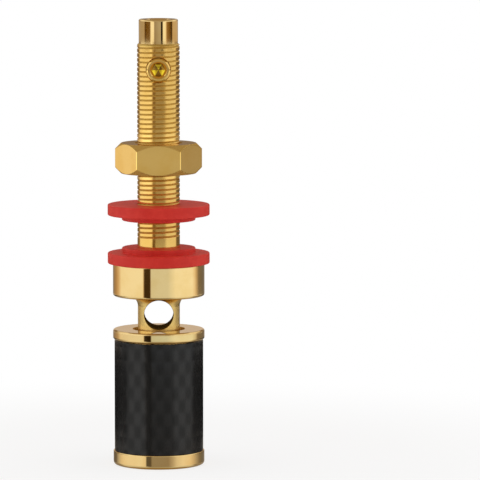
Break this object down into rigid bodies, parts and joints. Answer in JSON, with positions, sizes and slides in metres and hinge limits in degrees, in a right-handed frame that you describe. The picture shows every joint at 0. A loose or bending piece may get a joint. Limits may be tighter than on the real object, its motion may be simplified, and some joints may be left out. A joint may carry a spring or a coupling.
{
  "type": "binding post",
  "caption": "Screw-down terminal post for a panel: threaded stud with nut and two gaskets, cross-drilled neck, and a carbon-sleeved clamping knob with a banana socket.",
  "frame": {"origin": "middle of the knob's end face, on the turning axis", "axes": "+Z along the axis from the knob's end to the wire tail; the cross-hole runs along Y and the clamp screw faces -Y"},
  "size_m": [0.0216, 0.0216, 0.0946],
  "materials": {
    "gold_plate": "polished gold plate on brass",
    "gasket_red": "satin red silicone",
    "carbon_fibre": "lacquered carbon weave",
    "spring_steel": "plain spring steel"
  },
  "bodies": {
    "post_body": {"post": "gold_plate", "stop_clip": "spring_steel", "front_gasket": "gasket_red"},
    "rear_gasket_body": {"rear_gasket": "gasket_red"},
    "nut_body": {"hex_nut": "gold_plate"},
    "clamp_screw_body": {"clamp_screw": "gold_plate"},
    "clamp_ring_body": {"clamp_ring": "gold_plate", "snap_ring": "spring_steel"},
    "knob_body": {"knob_core": "gold_plate", "carbon_sleeve": "carbon_fibre", "end_ring": "gold_plate"}
  },
  "joints": [
    {"name": "rear_gasket_slide", "type": "slide", "parent": "post_body", "child": "rear_gasket_body", "axis": [0, 0, 1], "range_m": [-0.0055, 0]},
    {"name": "nut_travel", "type": "slide", "parent": "post_body", "child": "nut_body", "axis": [0, 0, 1], "range_m": [-0.0063, 0.0126]},
    {"name": "clamp_screw_travel", "type": "slide", "parent": "post_body", "child": "clamp_screw_body", "axis": [0, 1, 0], "range_m": [-0.001, 0.002]},
    {"name": "knob_travel", "type": "slide", "parent": "post_body", "child": "clamp_ring_body", "axis": [0, 0, 1], "range_m": [-0.001, 0.0066]},
    {"name": "knob_turn", "type": "hinge", "parent": "clamp_ring_body", "child": "knob_body", "pos_m": [0, 0, 0.02], "axis": [0, 0, 1], "range_deg": [-360, 2376]}
  ],
  "couplings": [
    {"joint": "knob_travel", "follows": "knob_turn", "m_per_rad": 0.00015915}
  ]
}
